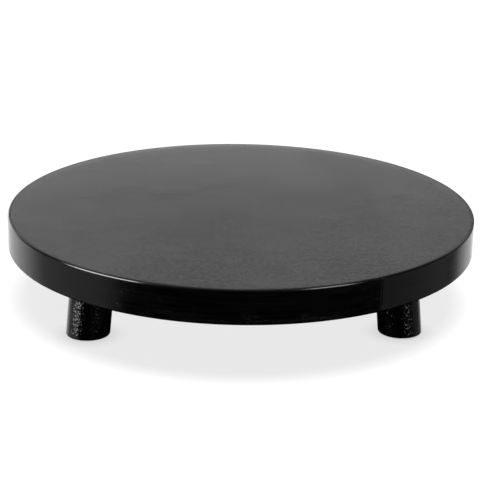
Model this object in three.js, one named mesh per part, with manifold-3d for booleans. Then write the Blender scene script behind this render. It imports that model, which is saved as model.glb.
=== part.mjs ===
// A low round serving tray: an edge-banded, veneered disc on three short legs that splay outwards.
// Millimetres, +Z up. The origin is on the tabletop under the tray's centre, and -Y is the front.
import * as THREE from "three";
import { mergeVertices } from "three/addons/utils/BufferGeometryUtils.js";
import Module from "manifold-3d";

const wasm = await Module();
wasm.setup();

// Driving dimensions. Angles are in degrees.
const TRAY_HEIGHT = 64; // tabletop to serving surface
const BOARD_DIAMETER = 300;
const BOARD_THICKNESS = 22; // core, both veneers and their glue lines
const VENEER_THICKNESS = 0.8;
const BAND_THICKNESS = 2; // solid lipping bent round the board
const BAND_JOINT_ANGLE = -60; // where the lipping's two ends meet, about +Z from +X
const BAND_JOINT_WIDTH = 0.3;
const EDGE_RADIUS = 1.2; // eased outer edges of the lipping
const LEG_INSET = 41; // from the board's rim to a leg's axis, at the board's underside
const LEG_DIAMETER = 27.6;
const LEG_SPLAY = 6; // lean of a leg away from upright
const LEG_ANGLES = { front_right: -30, back: 90, front_left: 210 }; // about +Z from +X
const LEG_TOP_CHAMFER = 0.8;
const FOOT_ROUNDING = 1;
const SOCKET_DEPTH = 4; // blind seat of a leg, measured along the leg's axis
const BOLT_DIAMETER = 8; // hanger bolt: wood thread in the leg, machine thread in the board
const BOLT_LENGTH_IN_LEG = 26;
const BOLT_TIP_LENGTH = 5;
const MACHINE_PITCH = 1.25;
const WOOD_PITCH = 3.2;
const MACHINE_THREAD_DEPTH = 0.6;
const WOOD_THREAD_DEPTH = 1.2;
const INSERT_DIAMETER = 12;
const INSERT_PITCH = 2.5;
const INSERT_THREAD_DEPTH = 0.7;
const INSERT_COVER = 4; // core left above an insert
const PAD_DIAMETER = 18;
const PAD_THICKNESS = 2;
const PAD_PROUD = 0.5; // how far a pad stands out of its recess
const PAD_EDGE_RADIUS = 0.3;

// Clearances
const GLUE_LINE = 0.1;
const JOINT_GAP = 0.3; // round a leg in its socket, an insert in its bore and a pad in its recess
const THREAD_GAP = 0.15;
const BORE_RUN_OUT = 1; // a blind bore goes this much deeper than what it holds
const CUT_OVERRUN = 5; // a cutter runs this far past the surface that it opens

// Facets
const BOARD_SEGMENTS = 96;
const LEG_SEGMENTS = 40;
const HARDWARE_SEGMENTS = 16;
const ARC_STEPS = 3;

// Worked-out sizes
const BOARD_RADIUS = BOARD_DIAMETER / 2;
const LEG_RADIUS = LEG_DIAMETER / 2;
const BOLT_RADIUS = BOLT_DIAMETER / 2;
const INSERT_RADIUS = INSERT_DIAMETER / 2;
const PAD_RADIUS = PAD_DIAMETER / 2;
const LEG_CIRCLE_RADIUS = BOARD_RADIUS - LEG_INSET;
const UNDERSIDE_HEIGHT = TRAY_HEIGHT - BOARD_THICKNESS;
const BAND_INNER_RADIUS = BOARD_RADIUS - BAND_THICKNESS;
const PANEL_RADIUS = BAND_INNER_RADIUS - GLUE_LINE;
const CORE_BOTTOM = UNDERSIDE_HEIGHT + VENEER_THICKNESS + GLUE_LINE;
const CORE_TOP = TRAY_HEIGHT - VENEER_THICKNESS - GLUE_LINE;
const SPLAY = THREE.MathUtils.degToRad(LEG_SPLAY);

// Places along a leg's own axis: 0 is at the board's underside, and the foot is below it.
const LEG_TOP = SOCKET_DEPTH - JOINT_GAP;
const INSERT_BORE_TOP =
  (CORE_TOP - INSERT_COVER - UNDERSIDE_HEIGHT) / Math.cos(SPLAY) -
  (INSERT_RADIUS + JOINT_GAP) * Math.tan(SPLAY);
const INSERT_BOTTOM = SOCKET_DEPTH + JOINT_GAP;
const INSERT_TOP = INSERT_BORE_TOP - BORE_RUN_OUT;
const BOLT_TIP = LEG_TOP - BOLT_LENGTH_IN_LEG;
const LEG_BORE_RADIUS = BOLT_RADIUS + THREAD_GAP;
const LEG_BORE_FLOOR = BOLT_TIP - BORE_RUN_OUT;

const point = (radius, height) => new THREE.Vector2(radius, height);

// The place on a leg's axis that is at this height above the tabletop.
function alongLeg(height) {
  return (height - UNDERSIDE_HEIGHT) / Math.cos(SPLAY);
}

// Points of a quarter turn of the given radius about a centre, from one angle to the next.
function quarterArc(centreRadius, centreHeight, radius, fromDegrees) {
  const points = [];
  for (let step = 0; step <= ARC_STEPS; step++) {
    const angle = THREE.MathUtils.degToRad(fromDegrees + (90 * step) / ARC_STEPS);
    points.push(
      point(
        centreRadius + radius * Math.cos(angle),
        centreHeight + radius * Math.sin(angle),
      ),
    );
  }
  return points;
}

// The zigzag outline of a thread between two heights, drawn as rings of nearly the given pitch.
function threadOutline(crestRadius, depth, bottom, top, pitch) {
  const rings = Math.max(1, Math.round((top - bottom) / pitch));
  const step = (top - bottom) / rings;
  const points = [point(crestRadius - depth, bottom)];
  for (let ring = 0; ring < rings; ring++) {
    points.push(point(crestRadius, bottom + (ring + 0.5) * step));
    points.push(point(crestRadius - depth, bottom + (ring + 1) * step));
  }
  return points;
}

// A solid of revolution about +Z from an outline that runs up its outside.
function turned(outline, segments) {
  return new THREE.LatheGeometry(outline, segments).rotateX(Math.PI / 2);
}

// A plain disc between two heights.
function disc(radius, bottom, top, segments) {
  const outline = [point(0, bottom), point(radius, bottom), point(radius, top), point(0, top)];
  return turned(outline, segments);
}

// A geometry as a manifold solid, and back again.
function toSolid(geometry) {
  const bare = geometry.clone();
  bare.deleteAttribute("normal");
  bare.deleteAttribute("uv");
  const welded = mergeVertices(bare);
  const mesh = new wasm.Mesh({
    numProp: 3,
    vertProperties: welded.getAttribute("position").array,
    triVerts: new Uint32Array(welded.index.array),
  });
  return new wasm.Manifold(mesh);
}

function toGeometry(solid) {
  const mesh = solid.getMesh();
  const geometry = new THREE.BufferGeometry();
  geometry.setAttribute("position", new THREE.BufferAttribute(mesh.vertProperties, 3));
  geometry.setIndex(new THREE.BufferAttribute(mesh.triVerts, 1));
  return geometry;
}

function cut(geometry, cutters) {
  let solid = toSolid(geometry);
  for (const cutter of cutters) solid = solid.subtract(toSolid(cutter));
  return toGeometry(solid);
}

// Materials
const finish = (color, roughness, metalness) =>
  new THREE.MeshStandardMaterial({ color, roughness, metalness });
const blackLacquer = () => finish(0x0b0b0c, 0.38, 0);
const fibreboard = () => finish(0x8a6a48, 0.85, 0);
const zincPlatedSteel = () => finish(0xb4b6ba, 0.35, 1);
const brass = () => finish(0xb08d45, 0.35, 1);
const blackRubber = () => finish(0x1c1c1d, 0.8, 0);

function named(name, geometry, material) {
  const mesh = new THREE.Mesh(geometry, material);
  mesh.name = name;
  return mesh;
}

// The two nested frames of one leg: the outer one turns to the leg's bearing, and the inner one
// stands on the leg's axis at the board's underside, leaning so that the foot goes outwards.
function makeLegFrames(bearing) {
  const turnedFrame = new THREE.Group();
  turnedFrame.rotation.z = THREE.MathUtils.degToRad(bearing);
  const leaningFrame = new THREE.Group();
  leaningFrame.position.set(LEG_CIRCLE_RADIUS, 0, UNDERSIDE_HEIGHT);
  leaningFrame.rotation.y = -SPLAY;
  turnedFrame.add(leaningFrame);
  turnedFrame.updateMatrixWorld(true);
  return { turnedFrame, leaningFrame };
}

// The leaning blind socket of a leg with the insert's bore above it, as a cutter.
function socketCutter(leaningFrame) {
  const socketRadius = LEG_RADIUS + JOINT_GAP;
  const boreRadius = INSERT_RADIUS + JOINT_GAP;
  const outline = [
    point(0, -CUT_OVERRUN),
    point(socketRadius, -CUT_OVERRUN),
    point(socketRadius, SOCKET_DEPTH),
    point(boreRadius, SOCKET_DEPTH),
    point(boreRadius, INSERT_BORE_TOP),
    point(0, INSERT_BORE_TOP),
  ];
  return turned(outline, LEG_SEGMENTS).applyMatrix4(leaningFrame.matrixWorld);
}

function makeCorePanel(sockets) {
  const panel = disc(PANEL_RADIUS, CORE_BOTTOM, CORE_TOP, BOARD_SEGMENTS);
  return named("core_panel", cut(panel, sockets), fibreboard());
}

function makeTopVeneer() {
  const bottom = TRAY_HEIGHT - VENEER_THICKNESS;
  const sheet = disc(PANEL_RADIUS, bottom, TRAY_HEIGHT, BOARD_SEGMENTS);
  return named("top_veneer", sheet, blackLacquer());
}

function makeUndersideVeneer(sockets) {
  const top = UNDERSIDE_HEIGHT + VENEER_THICKNESS;
  const sheet = disc(PANEL_RADIUS, UNDERSIDE_HEIGHT, top, BOARD_SEGMENTS);
  return named("underside_veneer", cut(sheet, sockets), blackLacquer());
}

// The lipping is one strip bent round the board, so it is open where its ends meet.
function makeEdgeBand() {
  const arcRadius = BOARD_RADIUS - EDGE_RADIUS;
  const outline = [
    point(BAND_INNER_RADIUS, UNDERSIDE_HEIGHT),
    ...quarterArc(arcRadius, UNDERSIDE_HEIGHT + EDGE_RADIUS, EDGE_RADIUS, -90),
    ...quarterArc(arcRadius, TRAY_HEIGHT - EDGE_RADIUS, EDGE_RADIUS, 0),
    point(BAND_INNER_RADIUS, TRAY_HEIGHT),
    point(BAND_INNER_RADIUS, UNDERSIDE_HEIGHT),
  ];
  const jointLength = BAND_THICKNESS + 2 * CUT_OVERRUN;
  const jointHeight = BOARD_THICKNESS + 2 * CUT_OVERRUN;
  const joint = new THREE.BoxGeometry(jointLength, BAND_JOINT_WIDTH, jointHeight)
    .translate(BOARD_RADIUS - BAND_THICKNESS / 2, 0, UNDERSIDE_HEIGHT + BOARD_THICKNESS / 2)
    .rotateZ(THREE.MathUtils.degToRad(BAND_JOINT_ANGLE));
  const ring = turned(outline, BOARD_SEGMENTS);
  return named("edge_band", cut(ring, [joint]), blackLacquer());
}

// Slides the foot's vertices along the leg's axis, so that a leaning leg ends level.
function levelFoot(geometry) {
  const position = geometry.getAttribute("position");
  for (let i = 0; i < position.count; i++) {
    if (position.getZ(i) > LEG_BORE_FLOOR - BORE_RUN_OUT) continue;
    position.setZ(i, position.getZ(i) - Math.tan(SPLAY) * position.getX(i));
  }
  return geometry;
}

// A turned leg, bored from its top for the bolt and recessed in its foot for the pad.
function makeLeg(place) {
  const recessRadius = PAD_RADIUS + JOINT_GAP;
  const recessTop = alongLeg(PAD_THICKNESS + GLUE_LINE);
  const footHeight = alongLeg(PAD_PROUD);
  const outline = [
    point(0, recessTop),
    point(recessRadius, recessTop),
    point(recessRadius, footHeight),
    ...quarterArc(LEG_RADIUS - FOOT_ROUNDING, footHeight + FOOT_ROUNDING, FOOT_ROUNDING, -90),
    point(LEG_RADIUS, LEG_TOP - LEG_TOP_CHAMFER),
    point(LEG_RADIUS - LEG_TOP_CHAMFER, LEG_TOP),
    point(LEG_BORE_RADIUS, LEG_TOP),
    point(LEG_BORE_RADIUS, LEG_BORE_FLOOR),
    point(0, LEG_BORE_FLOOR),
  ];
  return named("leg_" + place, levelFoot(turned(outline, LEG_SEGMENTS)), blackLacquer());
}

// A double-ended bolt: a pointed wood thread below, a plain collar, a machine thread above.
function makeHangerBolt(place) {
  const woodThreadBottom = BOLT_TIP + BOLT_TIP_LENGTH;
  const woodThreadTop = LEG_TOP - BORE_RUN_OUT;
  const machineThreadBottom = INSERT_BOTTOM;
  const machineThreadTop = INSERT_TOP - BORE_RUN_OUT;
  const outline = [
    point(0, BOLT_TIP),
    ...threadOutline(
      BOLT_RADIUS,
      WOOD_THREAD_DEPTH,
      woodThreadBottom,
      woodThreadTop,
      WOOD_PITCH,
    ),
    ...threadOutline(
      BOLT_RADIUS,
      MACHINE_THREAD_DEPTH,
      machineThreadBottom,
      machineThreadTop,
      MACHINE_PITCH,
    ),
    point(0, machineThreadTop),
  ];
  return named("hanger_bolt_" + place, turned(outline, HARDWARE_SEGMENTS), zincPlatedSteel());
}

// A sleeve screwed into the core, open at both ends, that takes the bolt's machine thread.
function makeThreadedInsert(place) {
  const boreRadius = BOLT_RADIUS + THREAD_GAP;
  const outside = threadOutline(
    INSERT_RADIUS,
    INSERT_THREAD_DEPTH,
    INSERT_BOTTOM,
    INSERT_TOP,
    INSERT_PITCH,
  );
  const outline = [
    point(boreRadius, INSERT_BOTTOM),
    ...outside,
    point(boreRadius, INSERT_TOP),
    point(boreRadius, INSERT_BOTTOM),
  ];
  return named("threaded_insert_" + place, turned(outline, HARDWARE_SEGMENTS), brass());
}

// A level rubber disc, centred on the leg's axis at the middle of the pad's thickness.
function makeFootPad(place) {
  const outline = [
    point(0, 0),
    ...quarterArc(PAD_RADIUS - PAD_EDGE_RADIUS, PAD_EDGE_RADIUS, PAD_EDGE_RADIUS, -90),
    point(PAD_RADIUS, PAD_THICKNESS),
    point(0, PAD_THICKNESS),
  ];
  const pad = named("foot_pad_" + place, turned(outline, LEG_SEGMENTS), blackRubber());
  const drop = UNDERSIDE_HEIGHT - PAD_THICKNESS / 2;
  pad.position.x = LEG_CIRCLE_RADIUS + drop * Math.tan(SPLAY);
  return pad;
}

function makeTray() {
  const tray = new THREE.Group();
  const sockets = [];
  for (const [place, bearing] of Object.entries(LEG_ANGLES)) {
    const { turnedFrame, leaningFrame } = makeLegFrames(bearing);
    leaningFrame.add(makeLeg(place), makeHangerBolt(place), makeThreadedInsert(place));
    turnedFrame.add(makeFootPad(place));
    sockets.push(socketCutter(leaningFrame));
    tray.add(turnedFrame);
  }
  tray.add(makeCorePanel(sockets), makeTopVeneer(), makeUndersideVeneer(sockets), makeEdgeBand());
  return tray;
}

export default makeTray();
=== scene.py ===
"""A low round serving tray in black satin lacquer, on three short legs that splay outwards.

Metres, +Z up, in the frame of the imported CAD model, whose -Y side is the tray's front.
"""

import math

import bmesh
import bpy
from mathutils import Matrix, Vector


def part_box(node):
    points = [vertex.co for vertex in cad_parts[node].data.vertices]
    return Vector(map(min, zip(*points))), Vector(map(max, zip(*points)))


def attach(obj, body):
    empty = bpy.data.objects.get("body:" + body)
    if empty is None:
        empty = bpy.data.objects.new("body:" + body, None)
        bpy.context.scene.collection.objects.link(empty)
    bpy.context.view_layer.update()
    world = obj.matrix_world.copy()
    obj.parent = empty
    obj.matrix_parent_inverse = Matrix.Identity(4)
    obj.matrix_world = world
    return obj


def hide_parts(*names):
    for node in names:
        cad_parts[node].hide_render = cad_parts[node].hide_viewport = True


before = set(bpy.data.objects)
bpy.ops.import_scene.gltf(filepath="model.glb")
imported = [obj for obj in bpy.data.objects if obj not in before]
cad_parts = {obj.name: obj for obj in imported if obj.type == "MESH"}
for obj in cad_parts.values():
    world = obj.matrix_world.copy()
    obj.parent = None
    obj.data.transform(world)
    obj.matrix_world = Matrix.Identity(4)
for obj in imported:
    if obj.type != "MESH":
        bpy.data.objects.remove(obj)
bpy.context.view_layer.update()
scene = bpy.context.scene

MM = 0.001
MICRON = 0.000001
PLACES = ("front_left", "front_right", "back")

# Sizes read from the frame.
band_low, band_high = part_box("edge_band")
veneer_low, veneer_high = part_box("top_veneer")
lower_veneer_low, lower_veneer_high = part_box("underside_veneer")
BOARD_RADIUS = (band_high.x - band_low.x) / 2
PANEL_RADIUS = (veneer_high.x - veneer_low.x) / 2
TOP_Z = band_high.z
UNDERSIDE_Z = band_low.z
LEG_RADIUS = (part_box("leg_back")[1].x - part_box("leg_back")[0].x) / 2
PAD_RADIUS = (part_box("foot_pad_back")[1].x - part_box("foot_pad_back")[0].x) / 2
PAD_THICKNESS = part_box("foot_pad_back")[1].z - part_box("foot_pad_back")[0].z
FOOT_Z = min(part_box("leg_" + place)[0].z for place in PLACES)

# Sizes that the CAD boxes don't show.
BAND_THICKNESS = 2 * MM
BAND_INNER_RADIUS = BOARD_RADIUS - BAND_THICKNESS
BAND_JOINT_ANGLE = math.radians(-60)
BAND_JOINT_HALF_GAP = 0.06 * MM
BAND_END_RISE = 0.22 * MM      # the bent strip springs out a little at its two ends
BAND_END_RISE_WIDTH = 7 * MM
EDGE_RADIUS = 1.2 * MM
EDGE_DROP = 0.06 * MM          # the sanded face falls away by this much at the rim
EDGE_DROP_WIDTH = 9 * MM
FACE_EASING = 0.04 * MM        # rounds the veneer and the lipping where the two meet
FLAT_KEEPER = 0.03 * MM        # a row of points this far from an easing keeps the flat face flat
ARC_KEEPER = 0.2 * MM          # the same, beside a larger rounding
GLUE_GAP = 0.1 * MM
JOINT_GAP = 0.3 * MM
LEG_SPLAY = math.radians(6)
SOCKET_DEPTH = 4 * MM
FOOT_ROUNDING = 1.0 * MM
LEG_TOP_CHAMFER = 0.8 * MM
LEG_BORE_RADIUS = 4.15 * MM
LEG_BORE_DEPTH = 27 * MM
BOARD_SEGMENTS = 256
LEG_SEGMENTS = 144
PAD_SEGMENTS = 96
CAMERA_BEARING = math.radians(-3.5)


# ---------------------------------------------------------------- mesh building

def make_object(name, vertices, faces, grain_places=None, sharp_degrees=50):
    """A smooth-shaded mesh object whose edges above the given angle stay sharp.

    grain_places gives each vertex its place in the straight piece of wood that it came from.
    """
    mesh = bpy.data.meshes.new(name)
    mesh.from_pydata([tuple(v) for v in vertices], [], faces)
    if grain_places:
        attribute = mesh.attributes.new("grain_place", "FLOAT_VECTOR", "POINT")
        attribute.data.foreach_set("vector", [number for place in grain_places for number in place])
    shape = bmesh.new()
    shape.from_mesh(mesh)
    bmesh.ops.recalc_face_normals(shape, faces=shape.faces)
    shape.to_mesh(mesh)
    shape.free()
    mesh.polygons.foreach_set("use_smooth", [True] * len(mesh.polygons))
    mesh.set_sharp_from_angle(angle=math.radians(sharp_degrees))
    piece = bpy.data.objects.new(name, mesh)
    scene.collection.objects.link(piece)
    return piece


def arc(centre_r, centre_z, radius, start_degrees, steps=8, sweep_degrees=90):
    """Points (r, z) of an arc in a turned outline."""
    points = []
    for step in range(steps + 1):
        angle = math.radians(start_degrees + sweep_degrees * step / steps)
        points.append((centre_r + radius * math.cos(angle), centre_z + radius * math.sin(angle)))
    return points


def subdivided(start, end, steps):
    """Points between two outline points, without the first."""
    points = []
    for step in range(1, steps + 1):
        t = step / steps
        points.append((start[0] + (end[0] - start[0]) * t, start[1] + (end[1] - start[1]) * t))
    return points


def turn(outline, segments):
    """Vertices and faces of a solid of revolution. The outline starts and ends on the axis."""
    vertices, faces, rings = [], [], []
    for r, z in outline:
        first = len(vertices)
        if r < 1e-9:
            vertices.append(Vector((0, 0, z)))
            rings.append([first] * segments)
            continue
        for i in range(segments):
            angle = 2 * math.pi * i / segments
            vertices.append(Vector((r * math.cos(angle), r * math.sin(angle), z)))
        rings.append([first + i for i in range(segments)])
    for lower, upper in zip(rings, rings[1:]):
        for i in range(segments):
            j = (i + 1) % segments
            face = []
            for index in (lower[i], lower[j], upper[j], upper[i]):
                if index not in face:
                    face.append(index)
            if len(face) > 2:
                faces.append(face)
    return vertices, faces


def smooth_step(t):
    """0 below 0, 1 above 1, and a slope with rounded ends between."""
    t = max(0.0, min(1.0, t))
    return t * t * (3 - 2 * t)


def face_height(r):
    """Height of the lacquered top at a radius: flat, then sanded down towards the rim."""
    return TOP_Z - EDGE_DROP * smooth_step((r - BOARD_RADIUS + EDGE_DROP_WIDTH) / EDGE_DROP_WIDTH)


# ---------------------------------------------------------------- the board

def make_top_veneer():
    """A thin disc whose face is flat, then follows the board's fall towards the rim."""
    ring_step = PANEL_RADIUS / 24
    flat_rings, drop_rings = 21, 8
    drop_start = BOARD_RADIUS - EDGE_DROP_WIDTH
    drop_step = (BAND_INNER_RADIUS - drop_start) / drop_rings
    radii = [ring_step * k for k in range(1, flat_rings + 1)]
    radii += [drop_start + drop_step * k for k in range(drop_rings)]
    rim_z = face_height(PANEL_RADIUS)
    top = [(r, face_height(r)) for r in radii]
    top += [(PANEL_RADIUS - FACE_EASING - FLAT_KEEPER, rim_z)]
    outline = [(0, veneer_low.z), (PANEL_RADIUS, veneer_low.z)]
    outline += arc(PANEL_RADIUS - FACE_EASING, rim_z - FACE_EASING, FACE_EASING, 0, steps=3)
    outline += list(reversed(top)) + [(0, TOP_Z)]
    return make_object("top_veneer_lacquered", *turn(outline, BOARD_SEGMENTS))


def band_outline(rise):
    """Section of the lipping, pushed out by rise on its outer face."""
    outer = BOARD_RADIUS + rise
    arc_r = outer - EDGE_RADIUS
    arc_top_z = face_height(arc_r) - EDGE_RADIUS
    inner_z = face_height(BAND_INNER_RADIUS)
    eased_r = BAND_INNER_RADIUS + FACE_EASING
    points = [(BAND_INNER_RADIUS, UNDERSIDE_Z), (arc_r - ARC_KEEPER, UNDERSIDE_Z)]
    points += arc(arc_r, UNDERSIDE_Z + EDGE_RADIUS, EDGE_RADIUS, -90, steps=10)
    points += subdivided(points[-1], (outer, arc_top_z), 12)
    points += arc(arc_r, arc_top_z, EDGE_RADIUS, 0, steps=10)[1:]
    points += [(arc_r - ARC_KEEPER, face_height(arc_r)), (eased_r + FLAT_KEEPER, inner_z)]
    points += [(eased_r, inner_z), (BAND_INNER_RADIUS, inner_z - FACE_EASING)]
    return points


def make_edge_band():
    """One strip bent round the board, whose two ends meet in a butt joint."""
    gap_angle = BAND_JOINT_HALF_GAP / BOARD_RADIUS
    rise_angle = BAND_END_RISE_WIDTH / BOARD_RADIUS
    end_steps, middle_steps = 28, 420
    crowding = 1.6                     # the steps near each end crowd together towards it
    easing, easing_reach = 0.10 * MM, 0.12 * MM
    offsets = [gap_angle + rise_angle * (k / end_steps) ** crowding for k in range(end_steps)]
    start, end = gap_angle + rise_angle, 2 * math.pi - gap_angle - rise_angle
    middle = [start + (end - start) * k / middle_steps for k in range(middle_steps + 1)]
    angles = offsets + middle + [2 * math.pi - offset for offset in reversed(offsets)]
    size = len(band_outline(0))
    vertices, places, faces = [], [], []
    for angle in angles:
        from_end = min(angle, 2 * math.pi - angle) - gap_angle
        lift = 1 - smooth_step(from_end / rise_angle)
        eased = easing * math.exp(-from_end * BOARD_RADIUS / easing_reach)
        section = band_outline(BAND_END_RISE * lift - eased)
        c, s = math.cos(BAND_JOINT_ANGLE + angle), math.sin(BAND_JOINT_ANGLE + angle)
        vertices += [(r * c, r * s, z) for r, z in section]
        places += [(angle * BOARD_RADIUS, r, z) for r, z in section]
    for ring in range(len(angles) - 1):
        for i in range(size):
            j = (i + 1) % size
            a, b = ring * size, (ring + 1) * size
            faces.append([a + i, a + j, b + j, b + i])
    faces.append(list(range(size)))
    faces.append([(len(angles) - 1) * size + i for i in reversed(range(size))])
    return make_object("edge_band_lacquered", vertices, faces, places)


# ---------------------------------------------------------------- legs and pads

def leg_axis(place):
    """Bearing of a leg about +Z, and the point where its axis meets the board's underside."""
    low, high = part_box("foot_pad_" + place)
    centre = (low + high) / 2
    bearing = math.atan2(centre.y, centre.x)
    foot_radius = math.hypot(centre.x, centre.y)
    top_radius = foot_radius - (UNDERSIDE_Z - centre.z) * math.tan(LEG_SPLAY)
    top = Vector((top_radius * math.cos(bearing), top_radius * math.sin(bearing), UNDERSIDE_Z))
    return bearing, top


def leg_matrix(place):
    """From a leg's own frame, upright with its origin level with the underside, to its place."""
    bearing, top = leg_axis(place)
    turn_to_bearing = Matrix.Rotation(bearing, 4, "Z")
    lean_outwards = Matrix.Rotation(-LEG_SPLAY, 4, "Y")
    return Matrix.Translation(top) @ turn_to_bearing @ lean_outwards


def along_leg(height):
    """Place on a leg's own axis of a height in the frame."""
    return (height - UNDERSIDE_Z) / math.cos(LEG_SPLAY)


def make_leg(place):
    """A turned leg, in its own leaning frame, whose foot is cut level with the tabletop."""
    top = SOCKET_DEPTH - JOINT_GAP
    foot = along_leg(FOOT_Z)
    foot_radius = LEG_RADIUS - FOOT_ROUNDING
    recess = along_leg(PAD_THICKNESS + GLUE_GAP)
    recess_radius = PAD_RADIUS + JOINT_GAP
    recess_chamfer = 0.2 * MM
    bore_floor = top - LEG_BORE_DEPTH
    outline = [(0, recess), (recess_radius, recess), (recess_radius, foot + recess_chamfer)]
    outline += [(recess_radius + recess_chamfer, foot), (foot_radius - ARC_KEEPER, foot)]
    outline += arc(foot_radius, foot + FOOT_ROUNDING, FOOT_ROUNDING, -90, steps=10)
    outline += subdivided(outline[-1], (LEG_RADIUS, top - LEG_TOP_CHAMFER), 30)
    outline += [(LEG_RADIUS - LEG_TOP_CHAMFER, top), (LEG_BORE_RADIUS, top)]
    outline += [(LEG_BORE_RADIUS, bore_floor), (0, bore_floor)]
    vertices, faces = turn(outline, LEG_SEGMENTS)
    bore_margin = 1 * MM
    cut_height, blend_height = 6 * MM, 8 * MM
    for v in vertices:
        level = smooth_step((foot + cut_height + blend_height - v.z) / blend_height)
        if v.z < bore_floor - bore_margin:
            v.z -= level * math.tan(LEG_SPLAY) * v.x
    other_wood = Vector((0.1, 0.2, 0.3)) * PLACES.index(place)
    grain_places = [v + other_wood for v in vertices]
    matrix = leg_matrix(place)
    return make_object("leg_lacquered_" + place, [matrix @ v for v in vertices], faces, grain_places)


def make_foot_pad(place):
    """A rubber disc with rounded edges and shallow grip rings underneath."""
    low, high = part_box("foot_pad_" + place)
    centre = (low + high) / 2
    groove_depth, groove_width, groove_slope, pitch = 0.25 * MM, 0.7 * MM, 0.15 * MM, 1.8 * MM
    plain_rim = 1.5 * MM
    lower, upper = 0.35 * MM, 0.1 * MM
    outline = [(0, 0)]
    r = 1.2 * MM
    while r + groove_width < PAD_RADIUS - plain_rim:
        outline += [(r, 0), (r + groove_slope, groove_depth)]
        outline += [(r + groove_width - groove_slope, groove_depth), (r + groove_width, 0)]
        r += pitch
    outline += arc(PAD_RADIUS - lower, lower, lower, -90, steps=6)
    outline += arc(PAD_RADIUS - upper, PAD_THICKNESS - upper, upper, 0, steps=3)
    outline += [(0, PAD_THICKNESS)]
    vertices, faces = turn(outline, PAD_SEGMENTS)
    offset = Vector((centre.x, centre.y, low.z))
    return make_object("foot_pad_rubber_" + place, [v + offset for v in vertices], faces)


# ---------------------------------------------------------------- the underside

def make_underside_veneer():
    """A thin sheet with a clean oval hole where each leg goes through."""
    curve = bpy.data.curves.new("underside_outline", "CURVE")
    curve.dimensions = "2D"
    curve.fill_mode = "BOTH"
    thickness = lower_veneer_high.z - lower_veneer_low.z
    curve.extrude = thickness / 2
    hole = LEG_RADIUS + JOINT_GAP
    hole_segments = 96

    def add_loop(centre, bearing, long_radius, short_radius, count):
        """An oval of straight stretches, whose long axis lies along the bearing."""
        spline = curve.splines.new("POLY")
        spline.points.add(count - 1)
        for i, target in enumerate(spline.points):
            angle = 2 * math.pi * i / count
            x, y = long_radius * math.cos(angle), short_radius * math.sin(angle)
            c, s = math.cos(bearing), math.sin(bearing)
            target.co = (centre.x + x * c - y * s, centre.y + x * s + y * c, 0, 1)
        spline.use_cyclic_u = True

    add_loop(Vector((0, 0)), 0, PANEL_RADIUS, PANEL_RADIUS, BOARD_SEGMENTS)
    for place in PLACES:
        bearing, top = leg_axis(place)
        add_loop(top, bearing, hole / math.cos(LEG_SPLAY), hole, hole_segments)
    holder = bpy.data.objects.new("underside_outline", curve)
    scene.collection.objects.link(holder)
    bpy.context.view_layer.update()
    evaluated = holder.evaluated_get(bpy.context.evaluated_depsgraph_get())
    mesh = bpy.data.meshes.new_from_object(evaluated)
    mesh.transform(Matrix.Translation((0, 0, UNDERSIDE_Z + thickness / 2)))
    mesh.name = "underside_veneer_lacquered"
    piece = bpy.data.objects.new("underside_veneer_lacquered", mesh)
    scene.collection.objects.link(piece)
    bpy.data.objects.remove(holder)
    shape = bmesh.new()
    shape.from_mesh(mesh)
    bmesh.ops.remove_doubles(shape, verts=shape.verts, dist=1e-6)
    bmesh.ops.recalc_face_normals(shape, faces=shape.faces)
    shape.to_mesh(mesh)
    shape.free()
    return piece


# ---------------------------------------------------------------- materials

class Nodes:
    """Short calls for building a node tree."""

    def __init__(self, material_or_world):
        material_or_world.use_nodes = True
        self.tree = material_or_world.node_tree
        self.tree.nodes.clear()

    def add(self, kind, inputs=None, **settings):
        node = self.tree.nodes.new(kind)
        for key, value in settings.items():
            setattr(node, key, value)
        for key, value in (inputs or {}).items():
            if isinstance(value, bpy.types.NodeSocket):
                self.tree.links.new(value, node.inputs[key])
            else:
                node.inputs[key].default_value = value
        return node

    def math(self, operation, a, b=0.0, c=0.0, clamp=False):
        inputs = {0: a, 1: b, 2: c}
        node = self.add("ShaderNodeMath", inputs, operation=operation, use_clamp=clamp)
        return node.outputs[0]

    def noise(self, vector, scale, detail=3.0, roughness=0.5, distortion=0.0):
        inputs = {"Vector": vector, "Scale": scale, "Detail": detail,
                  "Roughness": roughness, "Distortion": distortion}
        return self.add("ShaderNodeTexNoise", inputs).outputs["Fac"]

    def remap(self, value, low, high, to_low, to_high, kind="LINEAR"):
        inputs = {"Value": value, "From Min": low, "From Max": high,
                  "To Min": to_low, "To Max": to_high}
        node = self.add("ShaderNodeMapRange", inputs, interpolation_type=kind)
        return node.outputs["Result"]

    def total(self, start, *weighted_values):
        """The start plus each (value, weight) pair's product."""
        for value, weight in weighted_values:
            start = self.math("MULTIPLY_ADD", value, weight, start)
        return start

    def tint(self, factor, dark, light):
        """A colour between two, by factor. A Mix node's colour sockets have only numbers."""
        node = self.add("ShaderNodeMix", {"Factor": factor}, data_type="RGBA")
        node.inputs[6].default_value = (*dark, 1)
        node.inputs[7].default_value = (*light, 1)
        return node.outputs[2]

    def stretched_noise(self, vector, scales, **settings):
        """Noise with a scale of its own along each axis."""
        mapping = self.add("ShaderNodeMapping", {"Vector": vector, "Scale": scales})
        return self.noise(mapping.outputs["Vector"], 1.0, **settings)


def object_coordinates(nodes):
    """Places in metres, in the piece's own frame."""
    return nodes.add("ShaderNodeTexCoord").outputs["Object"]


def grain_coordinates(nodes):
    """Places in the straight piece of wood, as make_object stores them."""
    return nodes.add("ShaderNodeAttribute", attribute_name="grain_place").outputs["Vector"]


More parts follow.
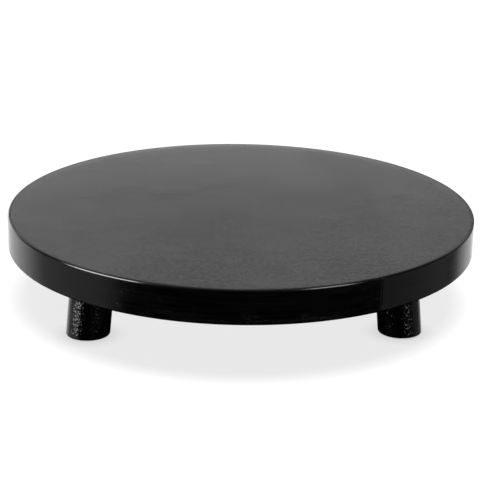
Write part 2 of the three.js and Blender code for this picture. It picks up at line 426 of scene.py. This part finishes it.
def finish_surface(nodes, color, roughness, height, distance, **constants):
    """A principled surface with bumps of the given height pattern and depth."""
    bump = nodes.add("ShaderNodeBump", {"Height": height, "Strength": 1.0, "Distance": distance})
    inputs = {"Base Color": color, "Roughness": roughness, "Normal": bump.outputs["Normal"]}
    inputs.update(constants)
    shader = nodes.add("ShaderNodeBsdfPrincipled", inputs)
    nodes.add("ShaderNodeOutputMaterial", {"Surface": shader.outputs["BSDF"]})


def make_top_lacquer(name, peel_depth, smoothest):
    """Black satin lacquer on a flat face: faint veneer grain, soft clouds and a few dark specks."""
    material = bpy.data.materials.new(name)
    nodes = Nodes(material)
    place = object_coordinates(nodes)
    peel = nodes.noise(place, 420.0, detail=2.0, roughness=0.5)
    grain = nodes.stretched_noise(place, (34, 1300, 34), detail=5.0, roughness=0.65)
    clouds = nodes.noise(place, 17.0, detail=3.0, roughness=0.55, distortion=0.6)
    grit = nodes.noise(place, 900.0, detail=2.0, roughness=0.6)
    cells = nodes.add("ShaderNodeTexVoronoi", {"Vector": place, "Scale": 19.0})
    ragged = nodes.total(cells.outputs["Distance"], (grit, 0.02))
    speck = nodes.remap(ragged, 0.020, 0.048, 1.0, 0.0, "SMOOTHSTEP")

    relief = nodes.total(peel, (grain, 0.5), (grit, 0.25), (speck, -0.6))
    gloss = nodes.total(smoothest, (clouds, 0.012), (grain, 0.04), (speck, 0.15))
    haze = nodes.total(0.0, (grain, 0.30), (clouds, 0.12), (grit, 0.26), (peel, 0.32))
    haze = nodes.remap(haze, 0.43, 0.57, 0.0, 1.0)
    haze = nodes.math("MULTIPLY", haze, nodes.math("SUBTRACT", 1.0, speck))
    color = nodes.tint(haze, (0.0000, 0.0000, 0.0001), (0.0360, 0.0358, 0.0355))
    finish_surface(nodes, color, gloss, relief, peel_depth, IOR=1.45)
    return material


def make_edge_lacquer():
    """Black lacquer brushed along the rim: orange peel, long streaks and patches of dull nibs."""
    material = bpy.data.materials.new("edge_lacquer")
    nodes = Nodes(material)
    place = grain_coordinates(nodes)
    peel = nodes.noise(place, 330.0, detail=2.0, roughness=0.5)
    ripple = nodes.stretched_noise(place, (85, 85, 14), detail=2.0)
    streaks = nodes.stretched_noise(place, (20, 20, 620), detail=5.0, roughness=0.65)
    patches = nodes.stretched_noise(place, (75, 75, 190), detail=4.0, distortion=0.5)
    grit = nodes.noise(place, 900.0, detail=2.0, roughness=0.6)
    height = nodes.add("ShaderNodeSeparateXYZ", {"Vector": place}).outputs["Z"]
    near_foot = nodes.remap(height, UNDERSIDE_Z + 2 * MM, UNDERSIDE_Z + 9 * MM, 0.06, -0.08)
    nibbed = nodes.math("ADD", patches, near_foot)
    nibbed = nodes.remap(nibbed, 0.52, 0.62, 0.0, 1.0, "SMOOTHSTEP")
    nibs = nodes.math("MULTIPLY", nodes.remap(grit, 0.50, 0.66, 0.0, 1.0), nibbed)

    relief = nodes.total(peel, (streaks, 1.30), (ripple, 2.6), (nibs, 0.5))
    gloss = nodes.total(0.05, (patches, 0.10), (streaks, 0.10), (nibs, 0.12))
    dull = nodes.remap(streaks, 0.35, 0.68, 0.0, 0.25)
    dull = nodes.math("MULTIPLY_ADD", nibs, 0.8, dull, clamp=True)
    color = nodes.tint(dull, (0.0001, 0.0001, 0.0001), (0.0070, 0.0069, 0.0068))
    finish_surface(nodes, color, gloss, relief, 26 * MICRON, IOR=1.45)
    return material


def make_leg_lacquer():
    """Black lacquer over turned wood: long pores and fine pits still show through it."""
    material = bpy.data.materials.new("leg_lacquer")
    nodes = Nodes(material)
    place = grain_coordinates(nodes)
    peel = nodes.noise(place, 420.0, detail=2.0)
    pits = nodes.stretched_noise(place, (850, 850, 560), detail=1.0, roughness=0.5)
    pits = nodes.remap(pits, 0.36, 0.56, 0.0, 1.0, "SMOOTHSTEP")
    pores = nodes.stretched_noise(place, (600, 600, 60), detail=4.0, roughness=0.6)
    pores = nodes.remap(pores, 0.42, 0.60, 0.0, 1.0, "SMOOTHSTEP")
    turning = nodes.stretched_noise(place, (8, 8, 900), detail=2.0)
    clouds = nodes.noise(place, 60.0, detail=3.0)

    relief = nodes.total(peel, (pores, 0.35), (pits, 0.8), (turning, 0.15))
    gloss = nodes.total(0.10, (clouds, 0.12), (pits, -0.04))
    color = nodes.tint(pores, (0.0008, 0.0008, 0.0009), (0.0030, 0.0029, 0.0028))
    finish_surface(nodes, color, gloss, relief, 58 * MICRON, IOR=1.47)
    return material


def make_rubber():
    """Matt black rubber, dusty in places."""
    material = bpy.data.materials.new("pad_rubber")
    nodes = Nodes(material)
    place = object_coordinates(nodes)
    grain = nodes.noise(place, 2600.0, detail=2.0)
    dust = nodes.noise(place, 190.0, detail=4.0, roughness=0.7)
    color = nodes.tint(dust, (0.012, 0.012, 0.013), (0.034, 0.033, 0.032))
    roughness = nodes.remap(dust, 0.3, 0.7, 0.62, 0.86)
    finish_surface(nodes, color, roughness, grain, 20 * MICRON, IOR=1.5)
    return material


def make_fibreboard():
    """Raw board of pressed fibres that lie level."""
    material = bpy.data.materials.new("core_board")
    nodes = Nodes(material)
    place = object_coordinates(nodes)
    fibres = nodes.stretched_noise(place, (700, 500, 2200), detail=5.0, roughness=0.7)
    mottle = nodes.noise(place, 60.0, detail=4.0)
    both = nodes.total(0.0, (mottle, 0.4), (fibres, 0.6))
    color = nodes.tint(both, (0.20, 0.125, 0.068), (0.50, 0.36, 0.22))
    roughness = nodes.remap(fibres, 0.3, 0.7, 0.75, 0.95)
    finish_surface(nodes, color, roughness, fibres, 60 * MICRON, IOR=1.45)
    return material


def make_metal(name, dark, light, roughness_low, roughness_high):
    """Machined metal with fine turning marks and uneven plating."""
    material = bpy.data.materials.new(name)
    nodes = Nodes(material)
    place = object_coordinates(nodes)
    marks = nodes.stretched_noise(place, (120, 120, 5200), detail=3.0)
    mottle = nodes.noise(place, 420.0, detail=4.0)
    color = nodes.tint(mottle, dark, light)
    roughness = nodes.remap(mottle, 0.3, 0.7, roughness_low, roughness_high)
    finish_surface(nodes, color, roughness, marks, 8 * MICRON, Metallic=1.0)
    return material


def assign(piece, material):
    piece.data.materials.clear()
    piece.data.materials.append(material)


# ---------------------------------------------------------------- assembling

top_lacquer = make_top_lacquer("top_lacquer", 12 * MICRON, 0.15)
underside_lacquer = make_top_lacquer("underside_lacquer", 30 * MICRON, 0.39)
edge_lacquer = make_edge_lacquer()
leg_lacquer = make_leg_lacquer()
rubber = make_rubber()
fibreboard = make_fibreboard()
zinc = make_metal("zinc_steel", (0.52, 0.53, 0.55), (0.74, 0.75, 0.77), 0.22, 0.42)
brass = make_metal("insert_brass", (0.58, 0.42, 0.17), (0.78, 0.62, 0.30), 0.20, 0.38)

# The rim, the legs and the underside: the strip lights shine on these alone.
edge_pieces = bpy.data.collections.new("edge_pieces")


def place_piece(piece, material, node, slot):
    """Gives a piece its material and body, hides its CAD node, and may add it to edge_pieces by
    slot.
    """
    assign(piece, material)
    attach(piece, "root")
    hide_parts(node)
    if slot in ("edge_lacquer", "leg_lacquer"):
        edge_pieces.objects.link(piece)


place_piece(make_top_veneer(), top_lacquer, "top_veneer", "top_lacquer")
place_piece(make_edge_band(), edge_lacquer, "edge_band", "edge_lacquer")
place_piece(make_underside_veneer(), underside_lacquer, "underside_veneer", "edge_lacquer")
for place in PLACES:
    place_piece(make_leg(place), leg_lacquer, "leg_" + place, "leg_lacquer")
    place_piece(make_foot_pad(place), rubber, "foot_pad_" + place, "pad_rubber")
    assign(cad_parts["hanger_bolt_" + place], zinc)
    assign(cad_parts["threaded_insert_" + place], brass)
assign(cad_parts["core_panel"], fibreboard)


# ---------------------------------------------------------------- the studio

def make_flat_face(name, corners):
    mesh = bpy.data.meshes.new(name)
    mesh.from_pydata(corners, [], [list(range(len(corners)))])
    face = bpy.data.objects.new(name, mesh)
    scene.collection.objects.link(face)
    return face


def make_floor():
    """A pale sweep that glows, so only a soft tray shadow stays, with painted contact shadow by the
    feet.
    """
    half = 40.0
    corners = [(-half, -half, 0), (half, -half, 0), (half, half, 0), (-half, half, 0)]
    floor = make_flat_face("floor", corners)
    material = bpy.data.materials.new("floor_pale")
    nodes = Nodes(material)
    # Painted contact shadow: the floor's glow dims from 0.80 to 0.62 where the feet stand close by.
    painted_contact_shadow = nodes.add("ShaderNodeAmbientOcclusion", {"Distance": 12 * MM}, samples=8)
    glow = nodes.remap(painted_contact_shadow.outputs["AO"], 0.35, 1.0, 0.62, 0.80)
    emission = nodes.add("ShaderNodeEmission", {"Color": (1, 1, 1, 1), "Strength": glow})
    matt = nodes.add("ShaderNodeBsdfDiffuse", {"Color": (0.20, 0.20, 0.20, 1)})
    both = nodes.add("ShaderNodeAddShader", {0: emission.outputs[0], 1: matt.outputs[0]})
    nodes.add("ShaderNodeOutputMaterial", {"Surface": both.outputs[0]})
    assign(floor, material)
    floor.visible_glossy = False
    floor.location.z = -0.1 * MM


def make_shadow_card():
    """A black card under the tray, seen only in reflections, as the tray's own shadow."""
    radius, z = 120 * MM, -0.3 * MM
    segments = 64
    angles = [2 * math.pi * i / segments for i in range(segments)]
    rim = [(radius * math.cos(angle), radius * math.sin(angle), z) for angle in angles]
    card = make_flat_face("shadow_card", rim)
    material = bpy.data.materials.new("shadow_card")
    nodes = Nodes(material)
    matt = nodes.add("ShaderNodeBsdfDiffuse", {"Color": (0.0, 0.0, 0.0, 1)})
    nodes.add("ShaderNodeOutputMaterial", {"Surface": matt.outputs[0]})
    assign(card, material)
    card.visible_camera = False
    card.visible_diffuse = False
    card.visible_shadow = False


def make_overhead_light():
    """A broad soft light from above, a little towards the front, that the lacquer doesn't mirror."""
    light = bpy.data.lights.new("overhead", "SUN")
    light.energy = 4.2
    light.angle = math.radians(28)
    holder = bpy.data.objects.new("overhead", light)
    holder.rotation_euler = (math.radians(22), 0, 0)
    holder.visible_glossy = False
    scene.collection.objects.link(holder)


# What the lacquer mirrors is a dark room with soft panels, each with a sector, a band and a
# radiance. A sector is a bearing from the camera's side of the tray, positive to the right, a half
# width and a soft edge, in degrees. A band is the sines of its lowest and highest elevation, and a
# soft edge. The glow panels stand for the tabletop, which the rim and the legs mirror, and the
# strip feet carry the strip lights' lines down below the horizon.
STRIP_LEFT_BEARING = -66
STRIP_RIGHT_BEARING = 42
ALL_ROUND = None
GLOW_BAND = (-0.45, -0.17, 0.06)
SIDE_WALL_BAND = (0.10, 0.50, 0.06)
PANELS = {
    "glow_left": ((-92, 18, 20), GLOW_BAND, 0.38),
    "glow_back_left": ((-158, 22, 26), GLOW_BAND, 1.00),
    "glow_right": ((98, 14, 20), GLOW_BAND, 0.20),
    "glow_back_right": ((163, 14, 26), GLOW_BAND, 0.92),
    "strip_left_foot": ((STRIP_LEFT_BEARING, 14, 9), (-0.14, 0.00, 0.04), 12.0),
    "strip_right_foot": ((STRIP_RIGHT_BEARING, 7, 10), (-0.10, 0.00, 0.05), 5.50),
    "walls": (ALL_ROUND, (0.12, 0.80, 0.06), 0.12),
    "back_wall": ((180, 40, 30), (0.36, 0.80, 0.06), 0.32),
    "low_window": ((-162, 16, 20), (-0.10, 0.19, 0.08), 2.60),
    "back_left_wall": ((-146, 10, 22), SIDE_WALL_BAND, 0.30),
    "back_right_wall": ((148, 10, 22), SIDE_WALL_BAND, 0.22),
    "ceiling": (ALL_ROUND, (0.88, 1.10, 0.06), 0.60),
}


def make_strip_light(name, bearing, half_width, radiance):
    """A tall strip box that only edge_pieces mirror, as a bright line along the eased edge."""
    distance = 1.5
    low, high = 0.03, 1.20
    width = 2 * distance * math.tan(math.radians(half_width))
    light = bpy.data.lights.new(name, "AREA")
    light.shape = "RECTANGLE"
    light.size = width
    light.size_y = high - low
    light.energy = radiance * math.pi * width * (high - low)
    holder = bpy.data.objects.new(name, light)
    scene.collection.objects.link(holder)
    stand = Matrix.Rotation(CAMERA_BEARING + math.radians(bearing), 4, "Z")
    face_tray = Matrix.Rotation(math.radians(90), 4, "X")
    place = Matrix.Translation((0, -distance, (low + high) / 2))
    holder.matrix_world = stand @ place @ face_tray
    holder.visible_camera = False
    holder.visible_diffuse = False
    holder.light_linking.receiver_collection = edge_pieces


def make_surroundings():
    """What the lacquer mirrors: soft panels in a dark room, and plain white for the camera."""
    world = bpy.data.worlds.new("studio")
    scene.world = world
    nodes = Nodes(world)
    direction = nodes.add("ShaderNodeTexCoord").outputs["Generated"]
    to_camera_side = {"Vector": direction, "Rotation": (0, 0, -CAMERA_BEARING)}
    turned = nodes.add("ShaderNodeMapping", to_camera_side)
    parts = nodes.add("ShaderNodeSeparateXYZ", {"Vector": turned.outputs["Vector"]}).outputs
    squares = nodes.math("MULTIPLY", parts["X"], parts["X"])
    level = nodes.math("SQRT", nodes.math("MULTIPLY_ADD", parts["Y"], parts["Y"], squares))
    level = nodes.math("MAXIMUM", level, 0.001)
    across = nodes.math("DIVIDE", parts["X"], level)
    away = nodes.math("DIVIDE", parts["Y"], level)
    height = parts["Z"]

    def panel(sector, band, radiance):
        """Radiance of one panel in the direction looked at."""
        side = radiance
        if sector is not ALL_ROUND:
            bearing, half_width, edge = [math.radians(degrees) for degrees in sector]
            facing = nodes.math("MULTIPLY", across, math.sin(bearing))
            facing = nodes.math("MULTIPLY_ADD", away, -math.cos(bearing), facing)
            outer, inner = math.cos(half_width + edge), math.cos(half_width)
            side = nodes.remap(facing, outer, inner, 0.0, radiance, "SMOOTHSTEP")
        low, high, edge = band
        bottom = nodes.remap(height, low - edge, low, 0.0, 1.0, "SMOOTHSTEP")
        top = nodes.remap(height, high, high + edge, 1.0, 0.0, "SMOOTHSTEP")
        return nodes.math("MULTIPLY", nodes.math("MULTIPLY", side, bottom), top)

    room = 0.0
    for sector, band, radiance in PANELS.values():
        room = nodes.math("ADD", panel(sector, band, radiance), room)
    seen = nodes.add("ShaderNodeLightPath").outputs["Is Camera Ray"]
    plain = nodes.add("ShaderNodeBackground", {"Color": (1, 1, 1, 1), "Strength": 1.0})
    lit = nodes.add("ShaderNodeBackground", {"Color": (1, 1, 1, 1), "Strength": room})
    mix = nodes.add("ShaderNodeMixShader", {0: seen, 1: lit.outputs[0], 2: plain.outputs[0]})
    nodes.add("ShaderNodeOutputWorld", {"Surface": mix.outputs[0]})


def make_camera():
    """A long lens a little left of the tray's front, looking down on it."""
    distance = 1.165
    elevation = math.radians(18.135)
    pitch = math.radians(19.161)
    yaw = math.radians(-0.019)
    roll = math.radians(0.892)
    camera = bpy.data.cameras.new("camera")
    camera.lens = 135
    camera.sensor_width = 36
    camera.clip_end = 200
    holder = bpy.data.objects.new("camera", camera)
    scene.collection.objects.link(holder)
    forward = Vector((math.sin(yaw) * math.cos(pitch), math.cos(yaw) * math.cos(pitch),
                      -math.sin(pitch)))
    right = Vector((math.cos(yaw), -math.sin(yaw), 0))
    up = right.cross(forward)
    rolled_right = right * math.cos(roll) + up * math.sin(roll)
    rolled_up = up * math.cos(roll) - right * math.sin(roll)
    axes = Matrix((rolled_right, rolled_up, -forward)).transposed().to_4x4()
    position = Vector((0, -distance * math.cos(elevation), distance * math.sin(elevation)))
    stand = Matrix.Translation((0, 0, TOP_Z)) @ Matrix.Rotation(CAMERA_BEARING, 4, "Z")
    holder.matrix_world = stand @ Matrix.Translation(position) @ axes
    scene.camera = holder


make_floor()
make_shadow_card()
make_overhead_light()
make_strip_light("strip_left", STRIP_LEFT_BEARING, 18, 14.0)
make_strip_light("strip_right", STRIP_RIGHT_BEARING, 10, 7.0)
make_surroundings()
make_camera()
scene.view_settings.view_transform = "Standard"
scene.view_settings.look = "None"
